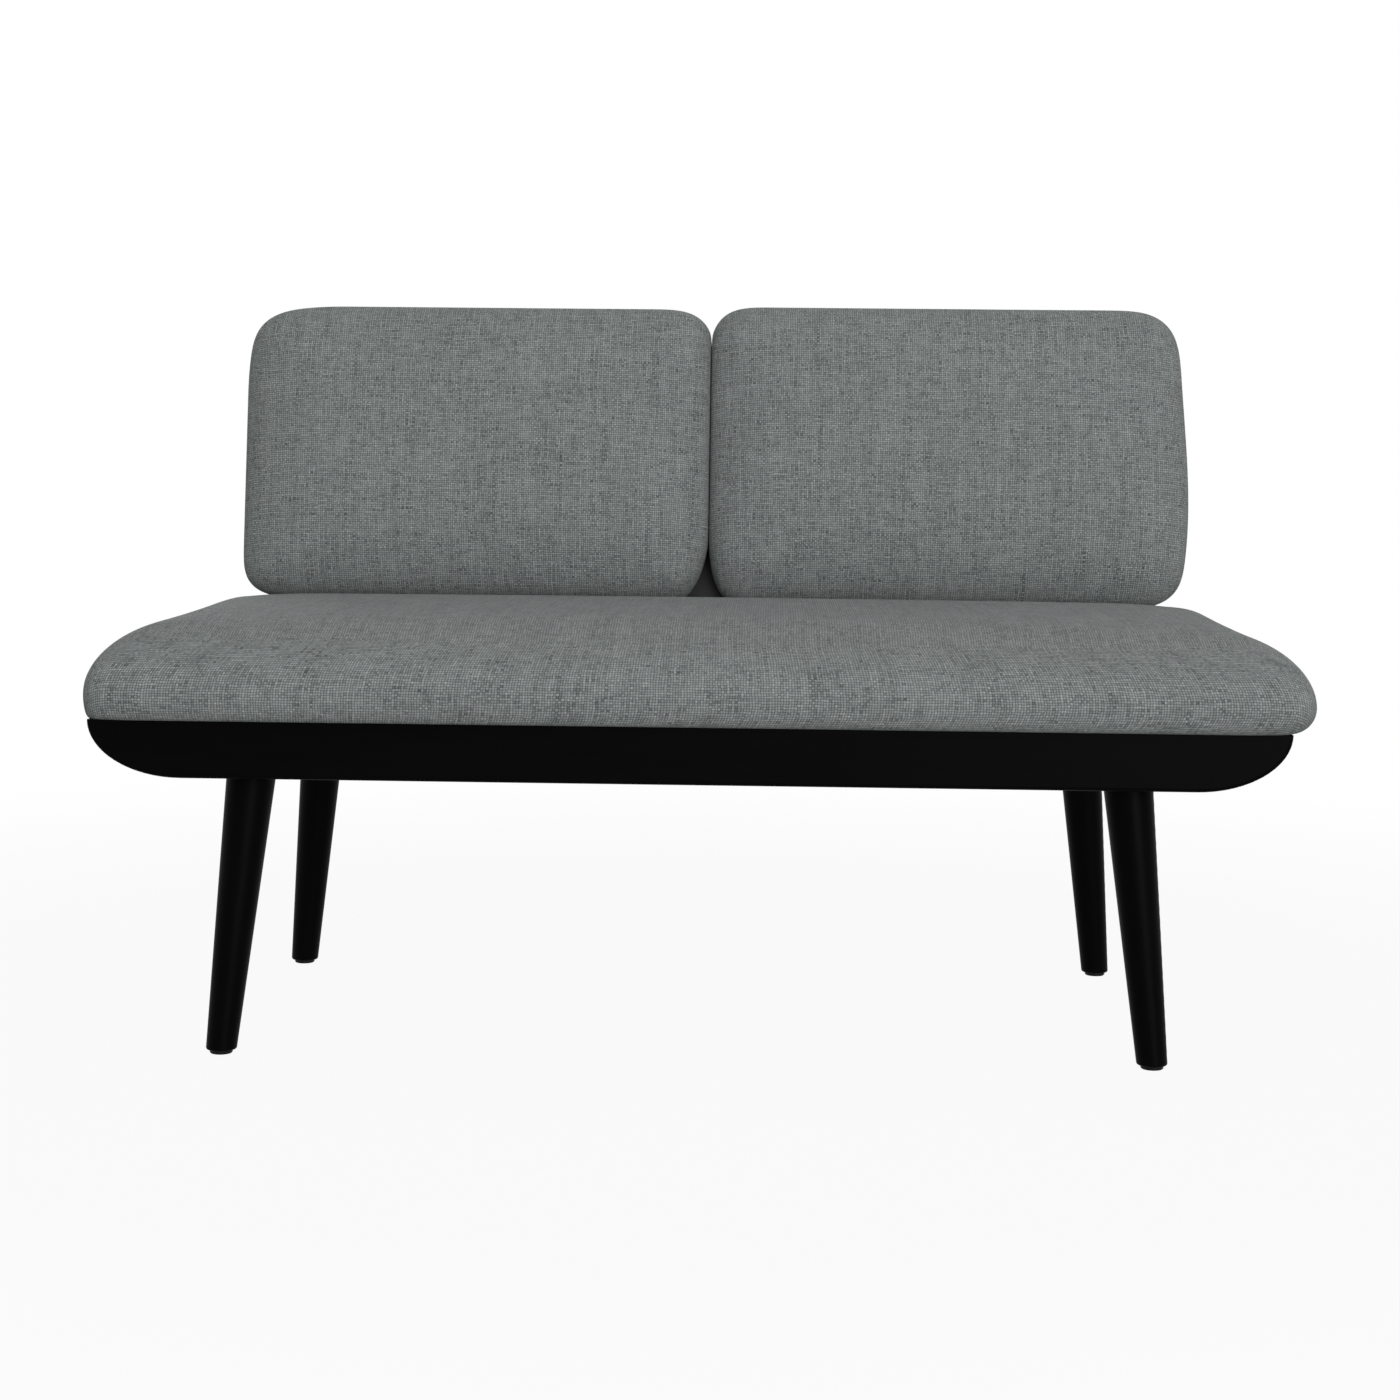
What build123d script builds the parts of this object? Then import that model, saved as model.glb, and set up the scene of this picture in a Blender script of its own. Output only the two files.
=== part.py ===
from build123d import *
from math import cos, hypot, radians, sin
import os

os.makedirs("parts", exist_ok=True)

# Two-seater sofa without arms: one long seat cushion and two leaning back pads on a black
# boat-shaped base with four splayed legs. X runs to the right of someone facing the sofa,
# Y to its back and Z up from the floor. Millimetres and degrees.

# Base
base_length = 1240.0  # end to end at the top edge
base_depth = 570.0  # front face to rear face
base_height = 60.0
floor_clearance = 298.0  # floor to the underside of the base
end_sweep = 96.0  # how far each end curves in on its way down
rail_thickness = 24.0
rail_edge_radius = 4.0
tray_thickness = 12.0  # bent plywood
rebate_depth = 8.0  # how far the tray is let into each rail
leg_bearer_width = 90.0
centre_bearer_width = 60.0
fit_clearance = 0.3  # between pieces that slide together

# Legs
leg_end_inset = 158.0  # end of the base to the middle of a leg's top, along X
leg_face_inset = 67.0  # front or rear face of the base to the same point, along Y
leg_splay_across = 30.0  # how far a foot stands out from the leg's top, along X
leg_splay_deep = 24.0  # the same along Y
leg_top_diameter = 52.0
leg_foot_diameter = 32.0
leg_foot_radius = 2.5  # rounding of the foot's edge
glide_diameter = 24.0
glide_height = 4.0
glide_chamfer = 1.0
glide_nail_diameter = 3.2
glide_nail_length = 16.0
hanger_diameter = 10.0
hanger_in_leg = 55.0
hanger_in_base = 44.0
insert_diameter = 16.0
insert_end = 40.0  # top of the insert, measured along the leg from the underside of the base

# Fasteners
seat_bolt_diameter = 6.0
seat_bolt_spacing = 220.0  # front to back
pad_bolt_diameter = 6.0
rail_bolt_diameter = 8.0
rail_bolt_pitch = 24.0  # one above the other on the rear rail
bolt_hole_clearance = 0.4  # on the radius
bolt_head_rim = 2.4  # head beyond the shank, all round
bolt_head_height = 3.6
bolt_head_edge = 1.2
tee_flange_rim = 4.5  # flange beyond the barrel, all round
tee_flange_thickness = 1.5
tee_wall = 1.2
tee_length = 9.0
thread_clearance = 0.1

# Cushions
crown_shares = (0.5, 1.0)  # how far up a crown's slope an outline is drawn
corner_limit = 0.42  # most of a side that one rounded corner takes

# Seat cushion: a flat-cut foam block under a quilted cover that is thicker over the crown
fabric_thickness = 2.0
seat_thickness = 107.0  # top of the base to the middle of the crown
seat_overhang = 16.0  # beyond the base at the front and at both ends
seat_rear_gap = 1.0  # short of the base's rear face
seat_tuck = 14.0  # how far the cover draws in towards its lower edge
seat_widest_level = 25.0  # height of the widest line above the base
seat_round = 85.0  # rounding over the front and the ends, seen from above
seat_round_turns = (28, 58, 90)  # degrees round that rounding where an outline is drawn
seat_rear_round = 42.0  # the same at the rear
seat_crown = 10.0
seat_crown_reach = 80.0
seat_corner_radius = 48.0
seat_corner_growth = 0.5  # added to a corner's radius by each millimetre in from the widest line
seat_side_pull = 4.0  # how far the sides draw in between the corners
seat_wadding = 18.0  # cover over the top of the foam
seat_foam_setback = 6.0  # foam inside the lower edge of the cover
seat_foam_round = 60.0
seat_foam_corner = 72.0
seat_board_thickness = 18.0
seat_board_setback = 14.0  # board inside the lower edge of the cover
seat_staple_margin = 45.0

# Back pads
pad_end_inset = 41.5  # end of the base to the outer edge of a pad
pad_height = 368.0
pad_thickness = 88.0
pad_gap = 3.0  # between the two pads
pad_lean = 10.0  # degrees from upright
pad_sink = 17.0  # lower rear edge of the pads below the crown of the seat
pad_corner_radius = 50.0
pad_corner_growth = 0.25
pad_back_tuck = 4.0  # how far the cover draws in towards its back
pad_widest_level = 28.0  # from the back to the widest line
pad_round = 30.0  # rounding of the face's edges
pad_round_turns = (38, 90)
pad_crown = 10.0
pad_crown_reach = 60.0
pad_side_pull = 3.0
pad_wadding = 14.0
pad_foam_setback = 9.0
pad_foam_round = 34.0
pad_foam_corner = 44.0
pad_board_thickness = 12.0
pad_board_setback = 18.0

# Back brackets
bracket_thickness = 8.0
bracket_width = 50.0
centre_bracket_width = 140.0
bracket_inset = 207.0  # outer edge of a pad to the middle of its outer bracket
centre_bolt_across = 45.0
bracket_rise = 240.0  # along the pads
bracket_drop = 48.0  # below the top of the base
bracket_bend_radius = 24.0
bracket_corner_radius = 12.0
pad_bolt_low = 90.0  # along the pads from their lower edge
pad_bolt_high = 210.0

# Places that follow from the sizes above
lean = radians(pad_lean)
half_length = base_length / 2
leg_top_across = half_length - leg_end_inset
leg_top_deep = base_depth / 2 - leg_face_inset
base_top = floor_clearance + base_height
tray_top = floor_clearance + tray_thickness
front_reach = base_depth / 2 + seat_overhang
rear_reach = base_depth / 2 + (pad_height - pad_back_tuck) * sin(lean)
base_middle = (front_reach - rear_reach) / 2  # puts the middle of the whole sofa at Y 0
base_front = base_middle - base_depth / 2
base_rear = base_middle + base_depth / 2
board_bottom = base_top + fabric_thickness
board_top = board_bottom + seat_board_thickness
seat_board_corner = seat_foam_corner + seat_foam_setback - seat_board_setback
pad_foot = base_top + seat_thickness - pad_sink
pad_board_corner = pad_foam_corner + pad_foam_setback - pad_board_setback
pad_width = half_length - pad_end_inset - pad_gap / 2
pad_across = (pad_width + pad_gap) / 2
bracket_across = pad_gap / 2 + pad_width - bracket_inset
seat_bolt_radius = seat_bolt_diameter / 2
pad_bolt_radius = pad_bolt_diameter / 2
rail_bolt_radius = rail_bolt_diameter / 2
hanger_radius = hanger_diameter / 2
insert_radius = insert_diameter / 2
leg_length = hypot(leg_splay_across, leg_splay_deep, floor_clearance)
rail_bolt_level = (tray_top + base_top) / 2
sides = {"left": -1, "right": 1}
ends = {"front": -1, "rear": 1}
corners = {f"{end}_{side}": (sides[side], ends[end]) for end in ends for side in sides}
bearers = {"left": -leg_top_across, "centre": 0.0, "right": leg_top_across}
seat_bolt_rows = [base_middle - seat_bolt_spacing / 2, base_middle + seat_bolt_spacing / 2]
bolt_columns = [-bracket_across, -centre_bolt_across, centre_bolt_across, bracket_across]
rail_bolt_rows = [rail_bolt_level - rail_bolt_pitch / 2, rail_bolt_level + rail_bolt_pitch / 2]
pad_bolt_rows = [pad_bolt_low, pad_bolt_high]
above = (Align.CENTER, Align.CENTER, Align.MIN)
below = (Align.CENTER, Align.CENTER, Align.MAX)


def finish(piece, name):
    piece.part.label = name
    export_step(piece.part, f"parts/{name}.step")


def upright_plane(y):
    # Across the sofa at depth y, drawn as seen from the front
    return Plane(origin=(0, y, 0), x_dir=(1, 0, 0), z_dir=(0, -1, 0))


def boat_section(y, inset):
    # Outline of the base: level top, flat bottom and a quarter ellipse at each end
    across = end_sweep - inset
    down = base_height - inset
    with BuildSketch(upright_plane(y)) as section:
        with BuildLine():
            left = EllipticalCenterArc((end_sweep - half_length, base_top), across, down, 180, arc_size=90)
            right = EllipticalCenterArc((half_length - end_sweep, base_top), across, down, 270, arc_size=90)
            Line(left @ 1, right @ 0)
            Line(right @ 1, left @ 0)
        make_face()
    return section.sketch


def leg_plane(side, end):
    # Middle of a leg's top on the underside of the base, with Z up along the leg
    top = (side * leg_top_across, base_middle + end * leg_top_deep, floor_clearance)
    up = (-side * leg_splay_across, -end * leg_splay_deep, floor_clearance)
    return Plane(origin=top, x_dir=(floor_clearance, 0, side * leg_splay_across), z_dir=up)


def foot_plane(side, end):
    # Level plane at the middle of a leg's lower face, where the glide meets it
    share = 1 - glide_height / floor_clearance
    across = leg_top_across + leg_splay_across * share
    deep = leg_top_deep + leg_splay_deep * share
    return Plane(origin=(side * across, base_middle + end * deep, glide_height))


def pad_plane(x):
    # Lower rear edge of a pad: X across, Y up along the pad, Z out through its face
    return Plane(origin=(x, base_rear, pad_foot), x_dir=(1, 0, 0), z_dir=(0, -cos(lean), sin(lean)))


def rail_bolt_plane(x, z, y):
    # Bolt place on the rear rail at depth y, with Z out to the back
    return Plane(origin=(x, y, z), x_dir=(1, 0, 0), z_dir=(0, 1, 0))


def pad_bolt_plane(x, along, forward):
    # Bolt place on a pad, so far forward of its back, with Z out to the back
    face = pad_plane(0)
    place = face.from_local_coords((x, along, forward))
    return Plane(origin=place, x_dir=(1, 0, 0), z_dir=-face.z_dir)


def cushion_section(plane, left, right, low, high, corner, pull):
    # Rectangle whose sides draw in between rounded corners
    middle = (left + right) / 2
    level = (low + high) / 2
    with BuildSketch(plane) as section:
        with BuildLine():
            ThreePointArc((left, low), (middle, low + pull), (right, low))
            ThreePointArc((right, low), (right - pull, level), (right, high))
            ThreePointArc((right, high), (middle, high - pull), (left, high))
            ThreePointArc((left, high), (left + pull, level), (left, low))
        make_face()
        fillet(section.vertices(), corner)
    return section.sketch


def seat_sections():
    # Outlines of the seat from its lower edge over the widest line to the crown
    steps = [(0.0, seat_tuck, 0.0), (seat_widest_level, 0.0, 0.0)]
    shoulder = seat_thickness - seat_crown - seat_widest_level
    for turn in seat_round_turns:
        bend = 1 - cos(radians(turn))
        level = seat_widest_level + shoulder * sin(radians(turn))
        steps.append((level, seat_round * bend, seat_rear_round * bend))
    for share in crown_shares:
        level = seat_thickness - seat_crown * (1 - share) ** 2
        reach = seat_crown_reach * share
        steps.append((level, seat_round + reach, seat_rear_round + reach))
    sections = []
    for level, inset, rear_inset in steps:
        across = half_length + seat_overhang - inset
        front = base_front - seat_overhang + inset
        rear = base_rear - seat_rear_gap - rear_inset
        corner = min(seat_corner_radius + seat_corner_growth * inset, corner_limit * (rear - front))
        plane = Plane.XY.offset(base_top + level)
        sections.append(cushion_section(plane, -across, across, front, rear, corner, seat_side_pull))
    return sections


def pad_sections(x):
    # Outlines of a pad from its back round the edges to the crown of its face
    steps = [(0.0, pad_back_tuck), (pad_widest_level, 0.0)]
    shoulder = pad_thickness - pad_crown - pad_widest_level
    for turn in pad_round_turns:
        level = pad_widest_level + shoulder * sin(radians(turn))
        steps.append((level, pad_round * (1 - cos(radians(turn)))))
    for share in crown_shares:
        level = pad_thickness - pad_crown * (1 - share) ** 2
        steps.append((level, pad_round + pad_crown_reach * share))
    sections = []
    for level, inset in steps:
        across = pad_width / 2 - inset
        high = pad_height - inset
        corner = min(pad_corner_radius + pad_corner_growth * inset, corner_limit * (high - inset))
        plane = pad_plane(x).offset(level)
        sections.append(cushion_section(plane, -across, across, inset, high, corner, pad_side_pull))
    return sections


def seat_block(setback, corner, bottom, height):
    # Level slab inside the lower edge of the seat's cover
    across = half_length + seat_overhang - seat_tuck - setback
    front = base_front - seat_overhang + seat_tuck + setback
    rear = base_rear - seat_rear_gap - setback
    with BuildPart() as block:
        with BuildSketch(Plane.XY.offset(bottom)):
            with Locations((0, (front + rear) / 2)):
                RectangleRounded(2 * across, rear - front, corner)
        extrude(amount=height)
    return block.part


def pad_block(x, setback, corner, back, thickness):
    # Slab inside a pad's cover, so far forward of its back
    with BuildPart() as block:
        with BuildSketch(pad_plane(x).offset(back)):
            with Locations((0, pad_height / 2)):
                RectangleRounded(pad_width - 2 * setback, pad_height - 2 * setback, corner)
        extrude(amount=thickness)
    return block.part


# Base: two profiled rails, a bent plywood tray let into them and three bearers inside
for end, turn in ends.items():
    face = base_middle + turn * base_depth / 2
    step = face - turn * (rail_thickness - rebate_depth)
    with BuildPart() as rail:
        extrude(boat_section(face, 0), amount=rail_thickness - rebate_depth, dir=(0, -turn, 0))
        rim = rail.faces().sort_by(Axis.Y)[0 if turn < 0 else -1].edges().sort_by(Axis.Z)
        fillet(rim[:-1], rail_edge_radius)  # the top edge stays square under the seat
        plug = boat_section(step, tray_thickness + fit_clearance)
        extrude(plug, amount=rebate_depth, dir=(0, -turn, 0))
        if end == "rear":
            barrel = rail_bolt_radius + thread_clearance + tee_wall + fit_clearance
            for x in bolt_columns:
                for z in rail_bolt_rows:
                    with Locations(rail_bolt_plane(x, z, face)):
                        Hole(rail_bolt_radius + bolt_hole_clearance, rail_thickness)
                    with Locations(rail_bolt_plane(x, z, face - rail_thickness)):
                        Hole(barrel, tee_length - tee_flange_thickness + fit_clearance)
    finish(rail, f"{end}_rail")

with BuildPart() as tray:
    tray_rear = base_rear - rail_thickness + rebate_depth
    tray_depth = base_depth - 2 * (rail_thickness - rebate_depth)
    extrude(boat_section(tray_rear, 0), amount=tray_depth)
    extrude(boat_section(tray_rear, tray_thickness), amount=tray_depth, mode=Mode.SUBTRACT)
    for x in bearers.values():
        for y in seat_bolt_rows:
            with Locations(Plane(origin=(x, y, floor_clearance), z_dir=(0, 0, -1))):
                CounterBoreHole(
                    seat_bolt_radius + bolt_hole_clearance,
                    seat_bolt_radius + bolt_head_rim + fit_clearance,
                    bolt_head_height + fit_clearance,
                    tray_thickness,
                )
    for side, end in corners.values():
        with Locations(leg_plane(side, end)):
            Cylinder(hanger_radius + bolt_hole_clearance, 2 * hanger_in_base, mode=Mode.SUBTRACT)
finish(tray, "base_tray")

for name, x in bearers.items():
    width = centre_bearer_width if name == "centre" else leg_bearer_width
    with BuildPart() as bearer:
        with BuildSketch(Plane.XY.offset(tray_top)):
            with Locations((x, base_middle)):
                Rectangle(width, base_depth - 2 * rail_thickness)
        extrude(amount=base_height - tray_thickness)
        for y in seat_bolt_rows:
            with Locations((x, y, base_top)):
                Hole(seat_bolt_radius + bolt_hole_clearance)
        if name in sides:
            for end in ends.values():
                with Locations(leg_plane(sides[name], end)):
                    Cylinder(
                        insert_radius + fit_clearance, insert_end, align=above, mode=Mode.SUBTRACT
                    )
                    Cylinder(
                        hanger_radius + bolt_hole_clearance,
                        hanger_in_base + fit_clearance,
                        align=above,
                        mode=Mode.SUBTRACT,
                    )
    finish(bearer, f"{name}_bearer")

# Legs: turned tapers on a compound splay, cut level at the base and at the floor
taper = (leg_top_diameter - leg_foot_diameter) / 2 / leg_length
for corner, (side, end) in corners.items():
    top = leg_plane(side, end)
    spare = leg_top_diameter / 2
    with BuildPart() as leg:
        with BuildSketch(Plane(origin=top.origin, x_dir=top.x_dir, z_dir=-top.y_dir)):
            with BuildLine():
                Polyline(
                    (0, spare),
                    (leg_top_diameter / 2 + taper * spare, spare),
                    (leg_foot_diameter / 2 - taper * spare, -leg_length - spare),
                    (0, -leg_length - spare),
                    close=True,
                )
            make_face()
        revolve(axis=Axis(top.origin, top.z_dir))
        split(bisect_by=Plane.XY.offset(floor_clearance), keep=Keep.BOTTOM)
        split(bisect_by=Plane.XY.offset(glide_height), keep=Keep.TOP)
        fillet(leg.faces().sort_by(Axis.Z)[0].edges(), leg_foot_radius)
        with Locations(top):
            Hole(hanger_radius + thread_clearance, hanger_in_leg)
        with Locations(foot_plane(side, end)):
            Hole(glide_nail_diameter / 2 + thread_clearance, glide_nail_length)
    finish(leg, f"{corner}_leg")

    with BuildPart() as glide:
        with Locations(foot_plane(side, end)):
            Cylinder(glide_diameter / 2, glide_height, align=below)
        chamfer(glide.faces().sort_by(Axis.Z)[0].edges(), glide_chamfer)
        with Locations(foot_plane(side, end)):
            Cylinder(glide_nail_diameter / 2, glide_nail_length, align=above)
    finish(glide, f"{corner}_glide")

with BuildPart() as hanger_bolts:
    for side, end in corners.values():
        with Locations(leg_plane(side, end).offset(-hanger_in_leg)):
            Cylinder(hanger_radius, hanger_in_leg + hanger_in_base, align=above)
finish(hanger_bolts, "hanger_bolts")

with BuildPart() as insert_nuts:
    for side, end in corners.values():
        with Locations(leg_plane(side, end)):
            Cylinder(insert_radius, insert_end, align=above)
            Cylinder(hanger_radius + thread_clearance, insert_end, align=above, mode=Mode.SUBTRACT)
    split(bisect_by=Plane.XY.offset(tray_top), keep=Keep.TOP)
finish(insert_nuts, "insert_nuts")

# Seat: plywood board, foam block, and the quilted fabric that wraps both and is stapled below
seat_tee_barrel = seat_bolt_radius + thread_clearance + tee_wall
foam_height = seat_thickness - seat_wadding - fabric_thickness
with BuildPart() as seat_board:
    add(seat_block(seat_board_setback, seat_board_corner, board_bottom, seat_board_thickness))
    for x in bearers.values():
        for y in seat_bolt_rows:
            with Locations((x, y, board_top)):
                CounterBoreHole(
                    seat_tee_barrel + fit_clearance,
                    seat_tee_barrel + tee_flange_rim + fit_clearance,
                    tee_flange_thickness,
                    seat_board_thickness,
                )
finish(seat_board, "seat_board")

with BuildPart() as seat_foam:
    add(seat_block(seat_foam_setback, seat_foam_corner, board_bottom, foam_height))
    fillet(seat_foam.faces().sort_by(Axis.Z)[-1].edges(), seat_foam_round)
with BuildPart() as seat_cover:
    loft(seat_sections())
    add(seat_foam.part, mode=Mode.SUBTRACT)
    margin = seat_board_setback + seat_staple_margin
    add(seat_block(margin, seat_board_corner, base_top, fabric_thickness), mode=Mode.SUBTRACT)
finish(seat_cover, "seat_cover")

with seat_foam:
    add(
        seat_block(seat_board_setback, seat_board_corner, board_bottom, seat_board_thickness),
        mode=Mode.SUBTRACT,
    )
finish(seat_foam, "seat_foam")

with BuildPart() as seat_bolts:
    for x in bearers.values():
        for y in seat_bolt_rows:
            with Locations((x, y, floor_clearance + bolt_head_height + fit_clearance)):
                Cylinder(seat_bolt_radius + bolt_head_rim, bolt_head_height, align=below)
                Cylinder(
                    seat_bolt_radius,
                    board_top - floor_clearance - bolt_head_height - fit_clearance,
                    align=above,
                )
    fillet(seat_bolts.edges().group_by(Axis.Z)[0], bolt_head_edge)
finish(seat_bolts, "seat_bolts")

with BuildPart() as seat_tee_nuts:
    for x in bearers.values():
        for y in seat_bolt_rows:
            with Locations((x, y, board_top)):
                Cylinder(seat_tee_barrel + tee_flange_rim, tee_flange_thickness, align=below)
                Cylinder(seat_tee_barrel, tee_length, align=below)
                Hole(seat_bolt_radius + thread_clearance, tee_length)
finish(seat_tee_nuts, "seat_tee_nuts")

# Back pads: each a plywood board and a foam block inside a quilted fabric cover
pad_tee_barrel = pad_bolt_radius + thread_clearance + tee_wall
board_face = fabric_thickness + pad_board_thickness
pad_foam_thickness = pad_thickness - pad_wadding - fabric_thickness
face_axis = Axis(pad_plane(0).origin, pad_plane(0).z_dir)
for name, side in sides.items():
    middle = side * pad_across
    columns = [x for x in bolt_columns if x * side > 0]
    board_block = pad_block(
        middle, pad_board_setback, pad_board_corner, fabric_thickness, pad_board_thickness
    )
    with BuildPart() as back_foam:
        add(pad_block(middle, pad_foam_setback, pad_foam_corner, fabric_thickness, pad_foam_thickness))
        fillet(back_foam.faces().sort_by(face_axis)[-1].edges(), pad_foam_round)
    with BuildPart() as back_cover:
        loft(pad_sections(middle))
        add(back_foam.part, mode=Mode.SUBTRACT)
        for x in columns:
            for along in pad_bolt_rows:
                with Locations(pad_bolt_plane(x, along, 0)):
                    Hole(pad_bolt_radius + bolt_hole_clearance, fabric_thickness)
    finish(back_cover, f"{name}_back_cover")

    with back_foam:
        add(board_block, mode=Mode.SUBTRACT)
    finish(back_foam, f"{name}_back_foam")

    with BuildPart() as back_board:
        add(board_block)
        for x in columns:
            for along in pad_bolt_rows:
                with Locations(-pad_bolt_plane(x, along, board_face)):
                    CounterBoreHole(
                        pad_tee_barrel + fit_clearance,
                        pad_tee_barrel + tee_flange_rim + fit_clearance,
                        tee_flange_thickness,
                        pad_board_thickness,
                    )
    finish(back_board, f"{name}_back_board")

with BuildPart() as pad_tee_nuts:
    for x in bolt_columns:
        for along in pad_bolt_rows:
            with Locations(pad_bolt_plane(x, along, board_face)):
                Cylinder(pad_tee_barrel + tee_flange_rim, tee_flange_thickness, align=above)
                Cylinder(pad_tee_barrel, tee_length, align=above)
                Hole(pad_bolt_radius + thread_clearance, tee_length)
finish(pad_tee_nuts, "pad_tee_nuts")

with BuildPart() as pad_bolts:
    for x in bolt_columns:
        for along in pad_bolt_rows:
            with Locations(pad_bolt_plane(x, along, -bracket_thickness)):
                Cylinder(pad_bolt_radius + bolt_head_rim, bolt_head_height, align=above)
                Cylinder(pad_bolt_radius, bracket_thickness + board_face, align=below)
    fillet(pad_bolts.edges().group_by(face_axis)[0], bolt_head_edge)
finish(pad_bolts, "pad_bolts")

# Back brackets: flat steel bars on the rear rail, bent back to the lean of the pads
brackets = {
    "left": (-bracket_across, bracket_width),
    "centre": (0.0, centre_bracket_width),
    "right": (bracket_across, bracket_width),
}
bracket_top = pad_plane(0).from_local_coords((0, bracket_rise, 0))
for name, (middle, width) in brackets.items():
    with BuildPart() as bracket:
        with BuildSketch(Plane(origin=(middle, 0, 0), x_dir=(0, 1, 0), z_dir=(1, 0, 0))):
            with BuildLine() as profile:
                FilletPolyline(
                    (base_rear, base_top - bracket_drop),
                    (base_rear, pad_foot),
                    (bracket_top.Y, bracket_top.Z),
                    radius=bracket_bend_radius + bracket_thickness,
                )
                offset(amount=bracket_thickness, side=Side.RIGHT)
            make_face()
        extrude(amount=width / 2, both=True)
        lower = bracket.edges().filter_by(Axis.Y).group_by(Axis.Z)[0]
        upper = bracket.edges().filter_by(face_axis).group_by(Axis.Z)[-1]
        fillet(lower + upper, bracket_corner_radius)
        for x in bolt_columns:
            if abs(x - middle) < width / 2:
                for z in rail_bolt_rows:
                    with Locations(rail_bolt_plane(x, z, base_rear)):
                        Hole(rail_bolt_radius + bolt_hole_clearance, 2 * bracket_thickness)
                for along in pad_bolt_rows:
                    with Locations(pad_bolt_plane(x, along, 0)):
                        Hole(pad_bolt_radius + bolt_hole_clearance, 2 * bracket_thickness)
    finish(bracket, f"{name}_bracket")

rail_tee_barrel = rail_bolt_radius + thread_clearance + tee_wall
with BuildPart() as rail_bolts:
    for x in bolt_columns:
        for z in rail_bolt_rows:
            with Locations(rail_bolt_plane(x, z, base_rear + bracket_thickness)):
                Cylinder(rail_bolt_radius + bolt_head_rim, bolt_head_height, align=above)
                Cylinder(
                    rail_bolt_radius,
                    bracket_thickness + rail_thickness + tee_flange_thickness,
                    align=below,
                )
    fillet(rail_bolts.edges().group_by(Axis.Y)[-1], bolt_head_edge)
finish(rail_bolts, "rail_bolts")

with BuildPart() as rail_tee_nuts:
    for x in bolt_columns:
        for z in rail_bolt_rows:
            with Locations(rail_bolt_plane(x, z, base_rear - rail_thickness)):
                Cylinder(rail_tee_barrel + tee_flange_rim, tee_flange_thickness, align=below)
                Cylinder(rail_tee_barrel, tee_length - tee_flange_thickness, align=above)
                Hole(rail_bolt_radius + thread_clearance, tee_length)
finish(rail_tee_nuts, "rail_tee_nuts")
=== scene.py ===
import math

import bpy
import numpy as np
from mathutils import Matrix, Vector


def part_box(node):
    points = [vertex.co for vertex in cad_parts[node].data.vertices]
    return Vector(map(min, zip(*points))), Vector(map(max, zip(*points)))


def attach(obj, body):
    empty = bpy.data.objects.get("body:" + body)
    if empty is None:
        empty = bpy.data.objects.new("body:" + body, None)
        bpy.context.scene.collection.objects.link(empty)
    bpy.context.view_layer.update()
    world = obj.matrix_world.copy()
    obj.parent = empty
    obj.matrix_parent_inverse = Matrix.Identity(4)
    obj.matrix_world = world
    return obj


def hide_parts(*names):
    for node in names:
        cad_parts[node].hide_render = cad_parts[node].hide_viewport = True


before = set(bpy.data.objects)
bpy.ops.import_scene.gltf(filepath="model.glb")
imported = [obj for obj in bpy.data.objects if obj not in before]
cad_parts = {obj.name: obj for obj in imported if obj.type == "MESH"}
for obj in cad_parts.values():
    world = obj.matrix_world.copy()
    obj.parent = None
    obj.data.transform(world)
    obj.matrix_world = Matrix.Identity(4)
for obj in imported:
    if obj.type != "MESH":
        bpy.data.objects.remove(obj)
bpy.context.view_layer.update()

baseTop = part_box("front_rail")[1].z
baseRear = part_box("rear_rail")[1].y
tiny = 1e-9  # keeps a division away from zero
print("frame loaded, base top at", round(baseTop * 1000, 1), "mm")


def linear(hexColour):
    # sRGB hex to linear light: c / 12.92 near black, ((c + 0.055) / 1.055) ^ 2.4 above
    srgb = np.array([int(hexColour[i:i + 2], 16) for i in (1, 3, 5)]) / 255
    light = np.where(srgb <= 0.04045, srgb / 12.92, ((srgb + 0.055) / 1.055) ** 2.4)
    return (*light.tolist(), 1.0)


def add(tree, kind, settings=None, **inputs):
    # one node: settings are its own properties; inputs, by name or as i and a number, are values,
    # sockets, or nodes, which give their first live output
    made = tree.nodes.new(kind)
    for name, value in (settings or {}).items():
        setattr(made, name, value)
    for name, value in inputs.items():
        socket = made.inputs[int(name[1:]) if name[1:].isdigit() else name.replace("_", " ")]
        if isinstance(value, bpy.types.Node):
            value = next(output for output in value.outputs if output.enabled)
        if isinstance(value, bpy.types.NodeSocket):
            tree.links.new(value, socket)
        else:
            socket.default_value = value
    return made


def newMaterial(name):
    material = bpy.data.materials.new(name)
    material.use_nodes = True
    material.node_tree.nodes.clear()
    return material, material.node_tree


def smoothMesh(name, points, faces, uv=None):
    mesh = bpy.data.meshes.new(name)
    mesh.from_pydata(points.tolist(), [], faces.tolist())
    mesh.polygons.foreach_set("use_smooth", np.ones(len(faces), bool))
    if uv is not None:
        layer = mesh.uv_layers.new(name="cloth")
        layer.data.foreach_set("uv", uv.astype(np.float32).ravel())
    mesh.update()
    piece = bpy.data.objects.new(name, mesh)
    bpy.context.scene.collection.objects.link(piece)
    return piece


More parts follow.
